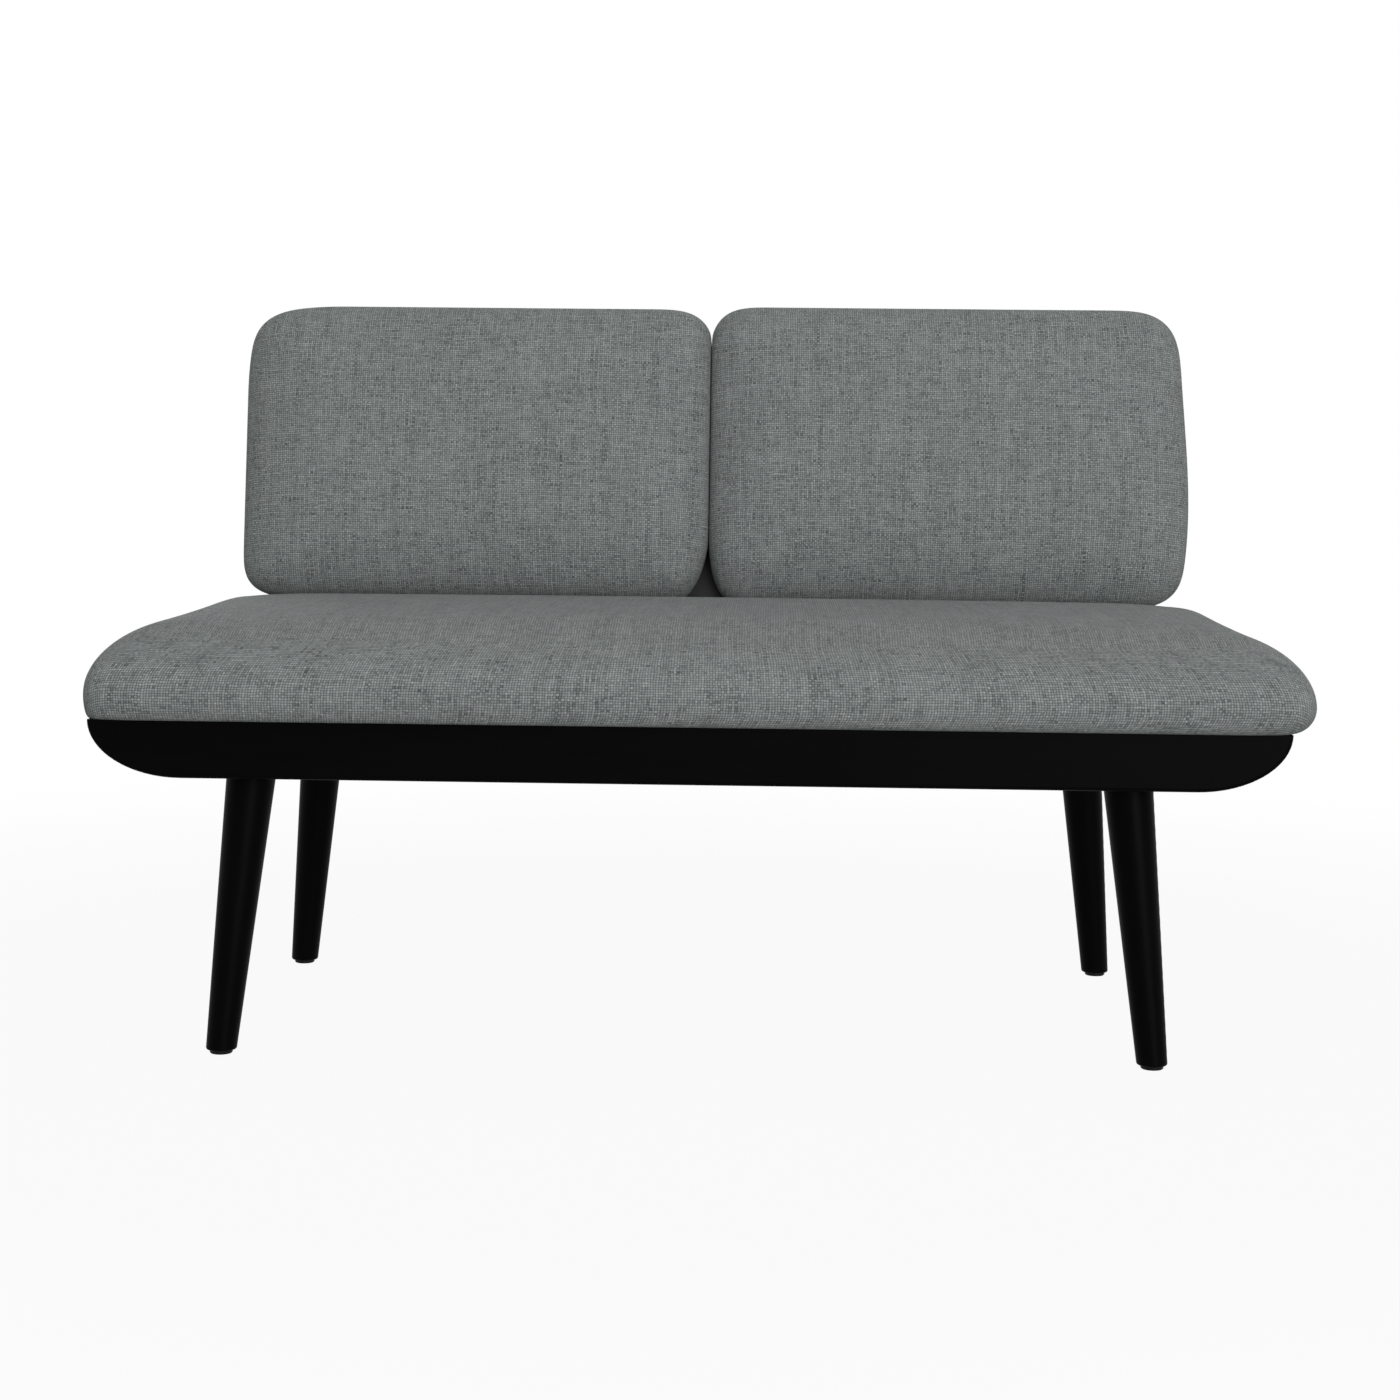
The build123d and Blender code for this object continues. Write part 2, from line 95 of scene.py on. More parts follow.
melange = {
    "yarn": 2.7e-3,  # the real yarn is nearer 1.4 mm, drawn coarser so that it shows in the render
    "tones": ((0.32, "#535757"), (0.47, "#7e8382"), (0.66, "#9a9f9e")),  # place in the noise, grey
    "slub": 7.0,  # yarns along a dark or light stretch of one yarn
    "slubDetail": 4.0,
    "slubGrit": 0.8,
    "lasting": 45.0,  # yarns along a tone that lasts
    "lastingShare": 0.22,  # its share of a warp yarn's tone
    "yarnStep": 7.31,  # from one yarn's place in the noise to the next one's
    "warpPlace": 3.7,
    "weftPlace": 91.3,
    "waver": 0.35,  # yarns that a yarn wanders to the side
    "waverSize": 0.014,
    "cloudSize": 0.05,  # faint mottling over the cloth
    "cloud": 0.06,
    "under": 0.5,  # height left of a yarn where it goes under
    "valley": 0.36,  # how much light is left between two yarns
    "crest": 1.25,  # and how much there is on top of one
    "bump": 0.6,
    "bumpHeight": 0.6e-3,
    "roughness": 0.95,
    "specular": 0.15,
    "nap": 0.10,
    "napRoughness": 0.5,
}


def melangeCloth():
    # woven melange polyester: plain weave of mottled grey yarns, matt with a soft nap, so the eye
    # sees fine crossing lines, darker flecks along single yarns and no shine
    material, tree = newMaterial("wovenMelangePolyester")
    uv = add(tree, "ShaderNodeUVMap", {"uv_map": "cloth"})
    flat = {"noise_dimensions": "2D"}
    number = {"data_type": "FLOAT"}
    noise = add(tree, "ShaderNodeTexNoise", flat, Vector=uv, Scale=1 / melange["waverSize"], Detail=1.0)
    centred = add(
        tree, "ShaderNodeVectorMath", {"operation": "SUBTRACT"},
        i0=noise.outputs["Color"], i1=(0.5, 0.5, 0.5),
    )
    wander = add(tree, "ShaderNodeVectorMath", {"operation": "SCALE"}, i0=centred, Scale=2 * melange["waver"])
    inYarns = add(tree, "ShaderNodeVectorMath", {"operation": "SCALE"}, i0=uv, Scale=1 / melange["yarn"])
    place = add(tree, "ShaderNodeVectorMath", {"operation": "ADD"}, i0=inYarns, i1=wander)
    axes = add(tree, "ShaderNodeSeparateXYZ", Vector=place)
    # over is 1 where the warp lies on top, by the parity of column + row
    column = add(tree, "ShaderNodeMath", {"operation": "FLOOR"}, i0=axes.outputs[0])
    row = add(tree, "ShaderNodeMath", {"operation": "FLOOR"}, i0=axes.outputs[1])
    both = add(tree, "ShaderNodeMath", {"operation": "ADD"}, i0=column, i1=row)
    over = add(tree, "ShaderNodeMath", {"operation": "FLOORED_MODULO"}, i0=both, i1=2.0)
    heights, tones = [], []
    for across, along, yarn, seed, lasting in (
        (0, 1, column, melange["warpPlace"], melange["lastingShare"]),
        (1, 0, row, melange["weftPlace"], 0.0),
    ):
        # a yarn is round across, |sin(pi x)|, and dips along in the same way where it goes under
        rounds = []
        for axis in (across, along):
            turn = add(tree, "ShaderNodeMath", {"operation": "MULTIPLY"}, i0=axes.outputs[axis], i1=math.pi)
            wave = add(tree, "ShaderNodeMath", {"operation": "SINE"}, i0=turn)
            rounds.append(add(tree, "ShaderNodeMath", {"operation": "ABSOLUTE"}, i0=wave))
        dip = add(
            tree, "ShaderNodeMath", {"operation": "MULTIPLY_ADD"},
            i0=rounds[1], i1=1 - melange["under"], i2=melange["under"],
        )
        heights.append(add(tree, "ShaderNodeMath", {"operation": "MULTIPLY"}, i0=rounds[0], i1=dip))
        # its tone is noise stretched along it, short slubs and a lasting part, from a fresh place
        # for each yarn
        step = add(tree, "ShaderNodeMath", {"operation": "MULTIPLY"}, i0=yarn, i1=melange["yarnStep"])
        stretches = []
        for length, detail in ((melange["slub"], melange["slubDetail"]), (melange["lasting"], 0.0)):
            drift = add(tree, "ShaderNodeMath", {"operation": "DIVIDE"}, i0=axes.outputs[along], i1=length)
            spot = add(tree, "ShaderNodeCombineXYZ", X=drift, Y=step, Z=seed)
            stretches.append(add(
                tree, "ShaderNodeTexNoise", Vector=spot, Scale=1.0,
                Detail=detail, Roughness=melange["slubGrit"],
            ))
        tones.append(add(tree, "ShaderNodeMix", number, i0=lasting, i2=stretches[0], i3=stretches[1]))
    height = add(tree, "ShaderNodeMix", number, i0=over, i2=heights[1], i3=heights[0])
    tone = add(tree, "ShaderNodeMix", number, i0=over, i2=tones[1], i3=tones[0])
    cloud = add(tree, "ShaderNodeTexNoise", flat, Vector=uv, Scale=1 / melange["cloudSize"], Detail=2.0)
    mixed = add(tree, "ShaderNodeMix", number, i0=melange["cloud"], i2=tone, i3=cloud)
    ramp = add(tree, "ShaderNodeValToRGB", Fac=mixed)
    steps = ramp.color_ramp.elements
    dark, mid, light = melange["tones"]
    steps[0].position, steps[0].color = dark[0], linear(dark[1])
    steps[1].position, steps[1].color = light[0], linear(light[1])
    steps.new(mid[0]).color = linear(mid[1])
    # painted shade and light: the colour is darkened in the valleys between yarns, where shade falls, and
    # made a little lighter on their crests
    shade = add(tree, "ShaderNodeMapRange", Value=height, To_Min=melange["valley"], To_Max=melange["crest"])
    colour = add(
        tree, "ShaderNodeMix", {"data_type": "RGBA", "blend_type": "MULTIPLY"},
        i0=1.0, i6=ramp, i7=shade,
    )
    bump = add(
        tree, "ShaderNodeBump", Height=height, Strength=melange["bump"], Distance=melange["bumpHeight"],
    )
    woven = add(
        tree, "ShaderNodeBsdfPrincipled", Base_Color=colour, Normal=bump,
        Roughness=melange["roughness"], Specular_IOR_Level=melange["specular"],
        Sheen_Weight=melange["nap"], Sheen_Roughness=melange["napRoughness"],
    )
    add(tree, "ShaderNodeOutputMaterial", Surface=woven)
    return material


lacquer = {
    "black": "#010101",
    "worn": "#040404",
    "grain": 9e-3,
    "poreLength": 0.09,
    "roughness": (0.34, 0.50),
    "specular": 0.025,
    "bump": 0.12,
    "bumpHeight": 2e-4,
}


def blackLacquer(along):
    # black stained beech under satin lacquer: nearly no colour, a soft broad highlight, and a
    # trace of the grain's pores in the gloss
    material, tree = newMaterial("blackLacqueredBeech" + along)
    place = add(tree, "ShaderNodeTexCoord").outputs["Object"]
    stretch = [1 / lacquer["grain"]] * 3
    stretch["XYZ".index(along)] = 1 / lacquer["poreLength"]
    mapped = add(tree, "ShaderNodeMapping", Vector=place, Scale=stretch)
    pores = add(tree, "ShaderNodeTexNoise", Vector=mapped, Scale=1.0, Detail=6.0, Roughness=0.65)
    colour = add(
        tree, "ShaderNodeMix", {"data_type": "RGBA"},
        i0=pores, i6=linear(lacquer["black"]), i7=linear(lacquer["worn"]),
    )
    smoothest, roughest = lacquer["roughness"]
    rough = add(tree, "ShaderNodeMapRange", Value=pores, To_Min=smoothest, To_Max=roughest)
    bump = add(tree, "ShaderNodeBump", Height=pores, Strength=lacquer["bump"], Distance=lacquer["bumpHeight"])
    paint = add(
        tree, "ShaderNodeBsdfPrincipled", Base_Color=colour, Roughness=rough, Normal=bump,
        Specular_IOR_Level=lacquer["specular"],
    )
    add(tree, "ShaderNodeOutputMaterial", Surface=paint)
    return material


timbers = {
    "birchPlywood": {"light": "#c8a878", "dark": "#b18a58", "streak": 6e-3, "streakLength": 0.12},
    "pine": {"light": "#d3b184", "dark": "#b98c56", "streak": 9e-3, "streakLength": 0.18},
}
planed = {"waviness": 0.6, "roughness": 0.7, "bump": 0.15, "bumpHeight": 2e-4}


def bareTimber(name):
    # planed timber with no finish: pale, matt, with long streaks of grain along X
    timber = timbers[name]
    material, tree = newMaterial(name)
    place = add(tree, "ShaderNodeTexCoord").outputs["Object"]
    across = 1 / timber["streak"]
    mapped = add(tree, "ShaderNodeMapping", Vector=place, Scale=(1 / timber["streakLength"], across, across))
    streak = add(
        tree, "ShaderNodeTexNoise", Vector=mapped, Scale=1.0, Detail=5.0, Distortion=planed["waviness"],
    )
    colour = add(
        tree, "ShaderNodeMix", {"data_type": "RGBA"},
        i0=streak, i6=linear(timber["dark"]), i7=linear(timber["light"]),
    )
    bump = add(tree, "ShaderNodeBump", Height=streak, Strength=planed["bump"], Distance=planed["bumpHeight"])
    bare = add(
        tree, "ShaderNodeBsdfPrincipled", Base_Color=colour, Roughness=planed["roughness"], Normal=bump,
    )
    add(tree, "ShaderNodeOutputMaterial", Surface=bare)
    return material


speckled = {
    "blackPowderCoat": {
        "base": "#0a0a0a", "fleck": "#131313", "size": 1.2e-3,
        "roughness": 0.55, "metallic": 0.0, "specular": 0.3, "bump": 0.25,
    },
    "zincPlatedSteel": {
        "base": "#b9bcbd", "fleck": "#9a9fa3", "size": 4e-3,
        "roughness": 0.32, "metallic": 1.0, "specular": 0.5, "bump": 0.05,
    },
    "blackNylon": {
        "base": "#080808", "fleck": "#0e0e0e", "size": 2e-3,
        "roughness": 0.5, "metallic": 0.0, "specular": 0.1, "bump": 0.08,
    },
}
fleckGloss = 0.06  # how far the roughness of any fleck departs
fleckHeight = 1e-4


def speckledFinish(name):
    # powder coat: fine orange peel; zinc plate: cloudy grey spangle; nylon: dull moulded skin
    coat = speckled[name]
    material, tree = newMaterial(name)
    place = add(tree, "ShaderNodeTexCoord").outputs["Object"]
    grain = add(tree, "ShaderNodeTexNoise", Vector=place, Scale=1 / coat["size"], Detail=2.0)
    colour = add(
        tree, "ShaderNodeMix", {"data_type": "RGBA"},
        i0=grain, i6=linear(coat["base"]), i7=linear(coat["fleck"]),
    )
    gloss = add(
        tree, "ShaderNodeMapRange", Value=grain,
        To_Min=coat["roughness"] - fleckGloss, To_Max=coat["roughness"] + fleckGloss,
    )
    bump = add(tree, "ShaderNodeBump", Height=grain, Strength=coat["bump"], Distance=fleckHeight)
    skin = add(
        tree, "ShaderNodeBsdfPrincipled", Base_Color=colour, Roughness=gloss, Normal=bump,
        Metallic=coat["metallic"], Specular_IOR_Level=coat["specular"],
    )
    add(tree, "ShaderNodeOutputMaterial", Surface=skin)
    return material


cloth = melangeCloth()
lacquerAlong = blackLacquer("X")
lacquerUpright = blackLacquer("Z")
plywood, pine = bareTimber("birchPlywood"), bareTimber("pine")
powderCoat, zinc, nylon = (speckledFinish(name) for name in speckled)
finishes = {  # by a word in the node's name, and a later word wins
    "rail": lacquerAlong, "tray": lacquerAlong, "leg": lacquerUpright, "glide": nylon, "bearer": pine,
    "board": plywood, "bracket": powderCoat, "pad_bolts": powderCoat, "rail_bolts": powderCoat,
    "seat_bolts": zinc, "nuts": zinc, "hanger_bolts": zinc,
}
for name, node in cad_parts.items():
    for word, finish in finishes.items():
        if word in name:
            node.data.materials.clear()
            node.data.materials.append(finish)
print("materials made")


def reaches(spec, x, y):
    # how far in from the widest line the face falls away, on the side where x and y lie; the ends
    # get tighter towards the high side, by tighten * share ^ tightenPower
    left, right, low, high = spec["reach"]
    share = np.clip(y / spec["length"] + 0.5, 0, 1)
    ends = np.where(x < 0, left, right) * (1 - spec["tighten"] * share ** spec["tightenPower"])
    return ends, np.where(y < 0, low, high)


def faceHeight(spec, x, y):
    # height = widest + rise * sqrt(1 - e ^ fullness) + crown, where e is 1 on the widest line and
    # 0 from reach inwards, joined over the corners as a k-norm that grows rounder inwards, by e cubed
    halfX, halfY, k = spec["width"] / 2, spec["length"] / 2, spec["squareness"]
    reachX, reachY = reaches(spec, x, y)
    ex = np.clip(1 - (halfX - np.abs(x)) / reachX, 0, 1)
    ey = np.clip(1 - (halfY - np.abs(y)) / reachY, 0, 1)
    e = np.clip((ex ** k + ey ** k) ** (1 / k), 0, 1)
    rounder = spec["roundness"] + (k - spec["roundness"]) * e ** 3
    e = np.clip((ex ** rounder + ey ** rounder) ** (1 / rounder), 0, 1)
    crown = np.clip((1 - (x / halfX) ** 2) * (1 - (y / halfY) ** 2), 0, 1)
    return spec["widest"] + spec["rise"] * np.sqrt(1 - e ** spec["fullness"]) + spec["crown"] * crown


def outline(spec, u, v, inset):
    # rectangle less inset with k-norm corners; u and v lie on the rim of the unit square
    k, half = spec["squareness"], (spec["width"] / 2, spec["length"] / 2)
    reach = reaches(spec, u * half[0], v * half[1])
    inner = [half[i] - reach[i] for i in (0, 1)]
    plain = [np.abs(side) * (half[i] - inset) for i, side in enumerate((u, v))]
    into = [np.clip(plain[i] - inner[i], 0, None) / (reach[i] - inset) for i in (0, 1)]
    atCorner = (into[0] > 0) & (into[1] > 0)
    norm = np.where(atCorner, (into[0] ** k + into[1] ** k) ** (1 / k), 1)
    placed = [
        np.where(atCorner, inner[i] + (reach[i] - inset) * into[i] / norm, plain[i]) for i in (0, 1)
    ]
    return np.sign(u) * placed[0], np.sign(v) * placed[1]


runSteps = 801  # points that the cloth's length is measured over


def clothRun(spec, values, axis):
    # distance over the cloth from the middle, along the face's middle line; the points are placed
    # by a sine, closer together near the steep edges
    half = (spec["width"], spec["length"])[axis] / 2
    line = half * np.sin(np.linspace(-math.pi / 2, math.pi / 2, runSteps))
    zero = np.zeros_like(line)
    z = faceHeight(spec, *((line, zero) if axis == 0 else (zero, line)))
    run = np.concatenate([[0], np.cumsum(np.hypot(np.diff(line), np.diff(z)))])
    return np.interp(values, line, run - run[len(run) // 2])


def tucked(spec, x, y, draw):
    # the outline drawn in towards the back by a share of each side's tuck
    left, right, low, high = spec["tuck"]
    shareX, shareY = x / spec["width"] + 0.5, y / spec["length"] + 0.5
    return (
        x + draw * (left * (1 - shareX) - right * shareX),
        y + draw * (low * (1 - shareY) - high * shareY),
    )


def bandFaces(upper, lower):
    # quads all round between two rings of points
    return np.stack([upper, lower, np.roll(lower, -1), np.roll(upper, -1)], -1)


def layCloth(spec, points, quads, ringIds, backFaces, side):
    # UV in metres of cloth: by distance over the face and the first laidRings rings, then straight
    # on down the four sides by the length of each side's middle, and plainly over the back
    flat = np.stack([clothRun(spec, points[:, 0], 0), clothRun(spec, points[:, 1], 1)], -1)
    outward = np.array([(0, -1), (1, 0), (0, 1), (-1, 0)])[side]
    middle = np.array([np.flatnonzero(side == s)[np.sum(side == s) // 2] for s in range(4)])[side]
    uvs, laid = [flat[quads]], spec["laidRings"]
    for upper, lower in zip(ringIds[:laid], ringIds[1:]):
        uvs.append(flat[bandFaces(upper, lower)])
    start, near = flat[ringIds[laid]], np.zeros((len(side), 1))
    nextStart = np.roll(start, -1, 0)
    for upper, lower in zip(ringIds[laid:-1], ringIds[laid + 1:]):
        far = near + np.linalg.norm(points[lower] - points[upper], axis=1)[middle][:, None]
        top, foot = near * outward, far * outward
        uvs.append(np.stack([start + top, start + foot, nextStart + foot, nextStart + top], 1))
        near = far
    uvs.append(points[backFaces, :2])
    return np.concatenate(uvs)


def drawIn(spec, points):
    # each side draws in between its corners by pull * side ^ 3 * (1 - across ^ 2), or bows out where
    # pull is below zero; an eased corner moves in further, fading as a square over its two spans
    halfX, halfY = spec["width"] / 2, spec["length"] / 2
    x, y = points[:, 0] / halfX, points[:, 1] / halfY
    ends, low, high = spec["pull"]
    points[:, 0] -= ends * x ** 3 * (1 - y ** 2)
    points[:, 1] -= np.where(y < 0, low, high) * y ** 3 * (1 - x ** 2)
    for (signX, signY), (moveX, moveY, spanX, spanY) in spec["ease"].items():
        nearX = np.clip(1 - (1 - signX * x) * halfX / spanX, 0, 1) ** 2
        nearY = np.clip(1 - (1 - signY * y) * halfY / spanY, 0, 1) ** 2
        points[:, 0] -= signX * moveX * nearX * nearY
        points[:, 1] -= signY * moveY * nearX * nearY


def buildCushion(spec):
    # Stuffed block, local x across, y along and z out of its back: a square grid for the face, rings
    # over the shoulder to the widest line and down the tucked-in wall, and a grid for the flat back.
    # A grid point (a, b) lies on ring max(|a|, |b|), which is an outline scaled towards the middle.
    nA, nB = round(spec["width"] / spec["cell"]), round(spec["length"] / spec["cell"])
    a, b = np.meshgrid(np.linspace(-1, 1, nA + 1), np.linspace(-1, 1, nB + 1))
    ring = np.maximum(np.maximum(np.abs(a), np.abs(b)), tiny)
    u, v = a / ring, b / ring
    faceX, faceY = (flat * ring for flat in outline(spec, u, v, spec["band"]))
    index = np.arange(ring.size).reshape(ring.shape)
    rim = np.concatenate([index[0, :-1], index[:-1, -1], index[-1, :0:-1], index[:0:-1, 0]])
    side = np.repeat([0, 1, 2, 3], [nA, nB, nA, nB])  # low, right, high, left
    rimX, rimY = faceX.ravel()[rim], faceY.ravel()[rim]
    wideX, wideY = outline(spec, u.ravel()[rim], v.ravel()[rim], 0)
    face = np.stack([faceX, faceY, faceHeight(spec, faceX, faceY)], -1).reshape(-1, 3)
    rings = []
    for w in np.linspace(0, 1, spec["shoulderRings"] + 1)[1:]:
        go = 1 - (1 - w) ** 2  # closer together towards the widest line, where the face is steep
        x, y = rimX + (wideX - rimX) * go, rimY + (wideY - rimY) * go
        z = faceHeight(spec, x, y) if w < 1 else np.full(len(x), spec["widest"])
        rings.append(np.stack([x, y, z], -1))
    for turn in np.linspace(0, math.pi / 2, spec["wallRings"] + 1)[1:]:
        x, y = tucked(spec, wideX, wideY, 1 - math.cos(turn))
        rings.append(np.stack([x, y, np.full(len(x), spec["widest"] * (1 - math.sin(turn)))], -1))
    backX, backY = (flat * ring for flat in tucked(spec, *outline(spec, u, v, 0), 1))
    inner = index[1:-1, 1:-1].ravel()
    back = np.stack([backX, backY, np.zeros_like(backX)], -1).reshape(-1, 3)[inner]
    points = np.concatenate([face, *rings, back])

    ringIds = [rim] + [len(face) + len(rim) * i + np.arange(len(rim)) for i in range(len(rings))]
    quads = np.stack([index[:-1, :-1], index[:-1, 1:], index[1:, 1:], index[1:, :-1]], -1).reshape(-1, 4)
    backIds = np.zeros(index.size, int)
    backIds[inner] = len(points) - len(inner) + np.arange(len(inner))
    backIds[rim] = ringIds[-1]
    backFaces = backIds[quads][:, ::-1]
    bands = [bandFaces(upper, lower) for upper, lower in zip(ringIds[:-1], ringIds[1:])]
    faces = np.concatenate([quads, *bands, backFaces])

    uv = layCloth(spec, points, quads, ringIds, backFaces, side)
    drawIn(spec, points)
    # the cloth is fixed from the widest line to the back, and ever freer over the shoulder
    shoulder = spec["shoulderRings"]
    hold = [((i / shoulder) ** 2, ringIds[i]) for i in range(1, shoulder)]
    hold.append((1.0, np.concatenate(ringIds[shoulder:] + [backIds[inner]])))
    return points, faces, uv, hold


def readPoints(mesh):
    flat = np.empty(len(mesh.vertices) * 3, np.float32)
    mesh.vertices.foreach_get("co", flat)
    return flat.reshape(-1, 3)


swelling = {"quality": 6, "mass": 0.3, "stretch": 18, "shear": 8, "bending": 1.2, "frames": 20}


def inflate(piece, hold, spec):
    # cloth under air pressure; its move is evened out over neighbouring points, so that no crease
    # is left, capped as cap * tanh(move / cap), and applied
    mesh, scene = piece.data, bpy.context.scene
    start = readPoints(mesh)
    group = piece.vertex_groups.new(name="hold")
    for weight, ids in hold:
        group.add(ids.tolist(), weight, "REPLACE")
    sim = piece.modifiers.new("cloth", "CLOTH")
    sim.settings.quality = swelling["quality"]
    sim.settings.mass = swelling["mass"]
    sim.settings.tension_stiffness = sim.settings.compression_stiffness = swelling["stretch"]
    sim.settings.shear_stiffness = swelling["shear"]
    sim.settings.bending_stiffness = swelling["bending"]
    sim.settings.use_pressure = True
    sim.settings.uniform_pressure_force = spec["pressure"]
    sim.settings.vertex_group_mass = "hold"
    sim.settings.effector_weights.gravity = 0
    for moment in range(1, swelling["frames"] + 1):
        scene.frame_set(moment)
    solved = piece.evaluated_get(bpy.context.evaluated_depsgraph_get())
    move = readPoints(solved.data) - start
    piece.modifiers.remove(sim)
    piece.vertex_groups.remove(group)
    ends = np.empty(len(mesh.edges) * 2, np.int32)
    mesh.edges.foreach_get("vertices", ends)
    ends = ends.reshape(-1, 2)
    count = np.bincount(ends.ravel(), minlength=len(start))[:, None]
    for _ in range(spec["evening"]):
        around = np.zeros_like(move)
        np.add.at(around, ends[:, 0], move[ends[:, 1]])
        np.add.at(around, ends[:, 1], move[ends[:, 0]])
        move = (move + around / count) / 2
        move[hold[-1][1]] = 0
    length = np.linalg.norm(move, axis=1, keepdims=True)
    move *= spec["cap"] * np.tanh(length / spec["cap"]) / np.maximum(length, tiny)
    mesh.vertices.foreach_set("co", (start + move).ravel())
    mesh.update()
    scene.frame_set(1)
    middling, most, largest = (np.percentile(length, (50, 90, 100)) * 1000).round(1)
    print(piece.name, "pressed out by", middling, "mm, nine tenths under", most, "and the most", largest)


def dress(piece, replaced):
    piece.data.materials.append(cloth)
    subdivide = piece.modifiers.new("rounding", "SUBSURF")
    subdivide.levels = subdivide.render_levels = 1
    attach(piece, "root")
    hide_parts(*replaced)


seatLow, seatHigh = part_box("seat_cover")
seat = {
    "ends": (-0.6295, 0.6485),  # the cushion lies a little to the right on its base
    "length": 0.586,
    "widest": 0.026,  # above the base
    "rise": 0.072,
    "crown": 0.0,
    "fullness": 2.8,
    "squareness": 8.0,
    "roundness": 3.6,
    "reach": (0.119, 0.128, 0.145, 0.038),  # left, right, front, rear
    "tighten": 0.40,
    "tightenPower": 0.6,
    "tuck": (0.004, 0.024, 0.010, 0.002),
    "band": 0.045,  # width of the shoulder's rings
    "pull": (0.003, 0.003, -0.0042),  # ends, front, rear
    "ease": {},
    "cell": 0.012,
    "shoulderRings": 8,
    "wallRings": 5,
    "laidRings": 0,
    "pressure": 0.3,
    "evening": 12,
    "cap": 0.010,
    "fill": 0.9,
}
seat["width"] = seat["ends"][1] - seat["ends"][0]
points, faces, uv, hold = buildCushion(seat)
points += (sum(seat["ends"]) / 2, (seatLow.y + seatHigh.y) / 2, baseTop)
seatPiece = smoothMesh("seatCushion", points, faces, uv)
inflate(seatPiece, hold, seat)
dress(seatPiece, ["seat_cover", "seat_foam", "seat_board"])
print("seat made,", len(faces), "faces")

pad = {
    "lean": math.radians(10),
    "foot": 0.0917,  # lower rear edge above the base, less each side's drop
    "widest": 0.028,
    "rise": 0.050,
    "crown": 0.004,
    "fullness": 2.9,
    "squareness": 4.4,
    "roundness": 2.6,
    "outerReach": 0.085,
    "innerReach": 0.075,
    "lowReach": 0.066,
    "highReach": 0.075,
    "tighten": 0.0,
    "tightenPower": 1.0,
    "tuck": (0.004, 0.004, 0.004, 0.004),
    "band": 0.03,
    "pull": (0.0, 0.0, 0.0),
    "cell": 0.0105,
    "shoulderRings": 7,
    "wallRings": 5,
    "laidRings": 7,
    "pressure": 3.0,
    "evening": 10,
    "cap": 0.022,
    "fill": 0.85,
    "meet": 0.0070,  # where the two pads press together, right of the middle of the base
    "touch": 0.0003,  # and how far each stops from there
    "spare": 0.004,  # cloth that presses flat where they meet
    "taperSpan": 0.115,  # height over which a pad thins towards its foot
    "swellPower": 1.6,  # above 1, the outer side swells most below its middle
    "cutFrom": (3.0, 2.0),  # where on the cloth a pad is cut, mirrored for the left one
    # outer end, length above the drop, drop, share lost at the foot, the outer side's extra swell,
    # and the corners rounder than the rest: moves across and along, and the spans of both
    "sides": {
        "left": {
            "sign": -1, "outer": -0.5698, "upper": 0.3658, "drop": 0.0, "taper": 0.06, "swell": 0.0,
            "ease": {
                (-1, 1): (0.012, 0.015, 0.12, 0.11), (1, 1): (0.007, 0.008, 0.07, 0.07),
                (-1, -1): (0.003, 0.006, 0.07, 0.06), (1, -1): (0.025, 0.007, 0.07, 0.12),
            },
        },
        "right": {
            "sign": 1, "outer": 0.5845, "upper": 0.3693, "drop": 0.0011, "taper": 0.24, "swell": 0.012,
            "ease": {
                (1, 1): (0.010, 0.010, 0.08, 0.08), (-1, 1): (0.009, 0.007, 0.07, 0.08),
                (1, -1): (0.003, 0.006, 0.07, 0.06), (-1, -1): (0.016, 0.003, 0.07, 0.13),
            },
        },
    },
}
sinLean, cosLean = math.sin(pad["lean"]), math.cos(pad["lean"])
for side, own in pad["sides"].items():
    sign, outer, length = own["sign"], own["outer"], own["upper"] + own["drop"]
    inner = pad["meet"] - sign * pad["spare"]
    spec = dict(pad, width=abs(outer - inner), length=length, ease=own["ease"])
    spec["reach"] = (*(pad["innerReach"], pad["outerReach"])[::sign], pad["lowReach"], pad["highReach"])
    local, faces, uv, hold = buildCushion(spec)
    # the outer side swells by sin(pi * share ^ swellPower) from its top to its foot, and the foot
    # gets thinner by the square
    share = np.clip(0.5 - local[:, 1] / length, 0, 1)
    outwards = np.clip(sign * local[:, 0] / spec["width"] * 2, 0, 1) ** 3
    local[:, 0] += sign * own["swell"] * outwards * np.sin(math.pi * share ** pad["swellPower"])
    along = local[:, 1] + length / 2
    local[:, 2] *= 1 - own["taper"] * np.clip(1 - along / pad["taperSpan"], 0, 1) ** 2
    along -= own["drop"]
    points = np.stack([
        local[:, 0] + (outer + inner) / 2,
        baseRear + along * sinLean - local[:, 2] * cosLean,
        baseTop + pad["foot"] + along * cosLean + local[:, 2] * sinLean,
    ], -1)
    cutAcross, cutAlong = pad["cutFrom"]
    piece = smoothMesh(side + "BackPad", points, faces, uv + (sign * cutAcross, cutAlong))
    inflate(piece, hold, spec)
    swelled = readPoints(piece.data)
    away = np.maximum((swelled[:, 0] - pad["meet"]) * sign, pad["touch"])
    swelled[:, 0] = pad["meet"] + sign * away
    piece.data.vertices.foreach_set("co", swelled.ravel())
    piece.data.update()
    dress(piece, [side + "_back_cover", side + "_back_foam", side + "_back_board"])
    print(side, "pad made,", len(faces), "faces")


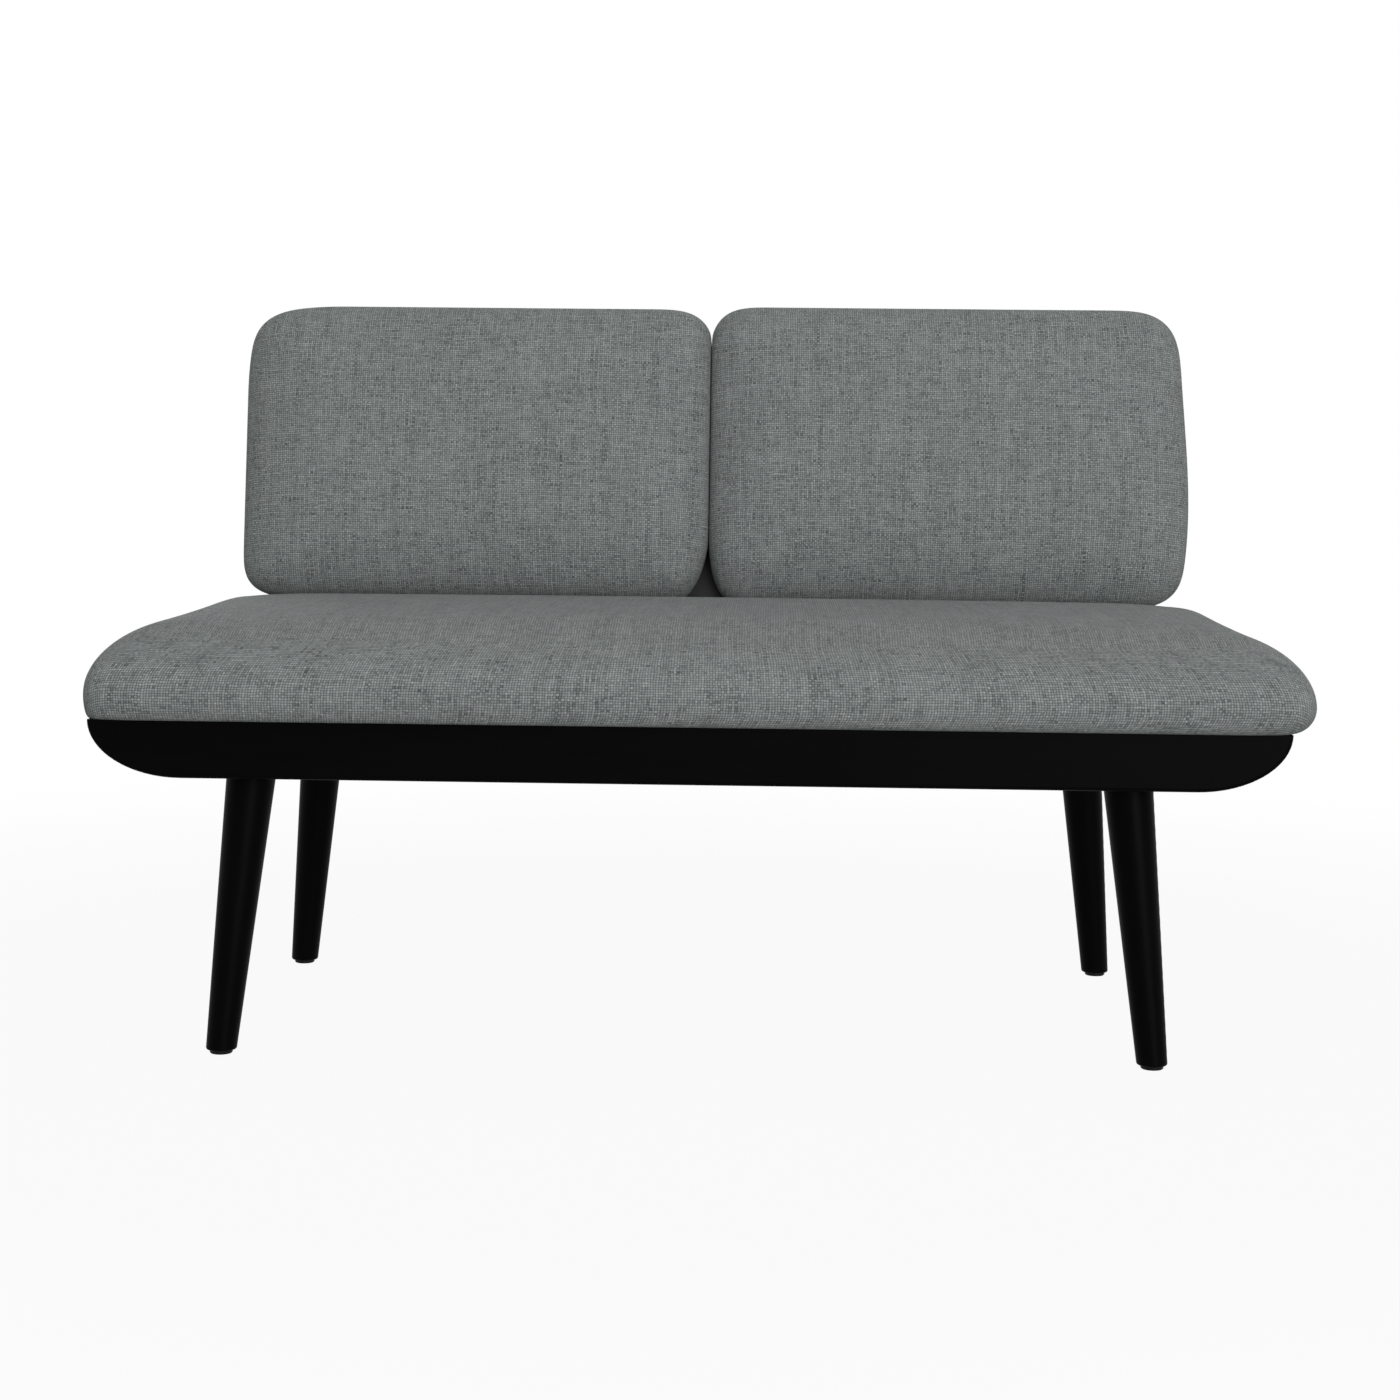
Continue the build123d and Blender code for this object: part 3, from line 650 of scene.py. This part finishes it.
studio = {
    "floorSize": 40.0,
    "floor": "#989898",
    "paperRoughness": 0.9,
    "glow": (0.94, 1.0),  # share of plain white that the camera sees, under the sofa and far off
    "glowFrom": (0.9, 2.4),
    "horizon": 0.60,  # light from low down all round
    "zenith": 0.16,  # and from straight above
}
lamps = {
    "key": {"place": (3.5, -8.2, 1.6), "aim": (0, 0, 0.5), "size": 4.0, "power": 450},
    "top": {"place": (0.0, -5.0, 7.0), "aim": (0, 0, 0.5), "size": 4.0, "power": 188},
    "back": {"place": (-3.5, 8.2, 0.7), "aim": (0, 0, 0.5), "size": 4.0, "power": 300},
}
plainWhite = (1, 1, 1, 1)


def seenRays(tree):
    # 1 for rays that show the backdrop: straight to the camera, off gloss or through glass
    path = add(tree, "ShaderNodeLightPath").outputs
    either = add(
        tree, "ShaderNodeMath", {"operation": "MAXIMUM"},
        i0=path["Is Camera Ray"], i1=path["Is Glossy Ray"],
    )
    return add(tree, "ShaderNodeMath", {"operation": "MAXIMUM"}, i0=either, i1=path["Is Transmission Ray"])


def paleFloor():
    # matt white studio paper, white to the camera, keeping a pale shadow
    material, tree = newMaterial("whiteStudioPaper")
    paper = add(
        tree, "ShaderNodeBsdfPrincipled", Base_Color=linear(studio["floor"]),
        Roughness=studio["paperRoughness"], Specular_IOR_Level=0.0,
    )
    glow = add(tree, "ShaderNodeEmission", Color=plainWhite, Strength=1.0)
    place = add(tree, "ShaderNodeTexCoord").outputs["Object"]
    away = add(tree, "ShaderNodeVectorMath", {"operation": "LENGTH"}, i0=place)
    (nearest, furthest), (least, whole) = studio["glowFrom"], studio["glow"]
    fade = add(
        tree, "ShaderNodeMapRange", {"interpolation_type": "SMOOTHSTEP"}, Value=away,
        From_Min=nearest, From_Max=furthest, To_Min=least, To_Max=whole,
    )
    share = add(tree, "ShaderNodeMath", {"operation": "MULTIPLY"}, i0=seenRays(tree), i1=fade)
    both = add(tree, "ShaderNodeMixShader", i0=share, i1=paper, i2=glow)
    add(tree, "ShaderNodeOutputMaterial", Surface=both)
    return material


corners = np.array([(-1, -1, 0), (1, -1, 0), (1, 1, 0), (-1, 1, 0)]) * studio["floorSize"]
floor = smoothMesh("floor", corners, np.array([(0, 1, 2, 3)]))
floor.data.materials.append(paleFloor())

# soft light, brightest from the sides and dimmer from above, and plain white where it is seen
world = bpy.data.worlds.new("studio")
bpy.context.scene.world = world
world.use_nodes = True
tree = world.node_tree
tree.nodes.clear()
direction = add(tree, "ShaderNodeSeparateXYZ", Vector=add(tree, "ShaderNodeTexCoord").outputs["Generated"])
level = add(
    tree, "ShaderNodeMapRange", Value=direction.outputs["Z"],
    To_Min=studio["horizon"], To_Max=studio["zenith"],
)
strength = add(tree, "ShaderNodeMix", {"data_type": "FLOAT"}, i0=seenRays(tree), i2=level, i3=1.0)
sky = add(tree, "ShaderNodeBackground", Color=plainWhite, Strength=strength)
add(tree, "ShaderNodeOutputWorld", Surface=sky)
for name, lamp in lamps.items():
    data = bpy.data.lights.new(name, "AREA")
    data.energy, data.size = lamp["power"], lamp["size"]
    light = bpy.data.objects.new(name, data)
    bpy.context.scene.collection.objects.link(light)
    light.location = lamp["place"]
    facing = Vector(lamp["aim"]) - Vector(lamp["place"])
    light.rotation_euler = facing.to_track_quat("-Z", "Y").to_euler()
print("floor and light set")

view = {
    "place": (0.0874, -2.9067, 0.6404),
    "turn": 1.6195,  # degrees to the left, down and round
    "tip": 5.5758,
    "roll": 0.5989,
    "lens": 65.57,
    "sensor": 36.0,
}
cameraData = bpy.data.cameras.new("camera")
cameraData.lens, cameraData.sensor_width = view["lens"], view["sensor"]
camera = bpy.data.objects.new("camera", cameraData)
bpy.context.scene.collection.objects.link(camera)
camera.matrix_world = (
    Matrix.Translation(view["place"])
    @ Matrix.Rotation(math.radians(view["turn"]), 4, "Z")
    @ Matrix.Rotation(math.radians(90 - view["tip"]), 4, "X")
    @ Matrix.Rotation(math.radians(view["roll"]), 4, "Z")
)
bpy.context.scene.camera = camera
bpy.context.scene.view_settings.view_transform = "Standard"
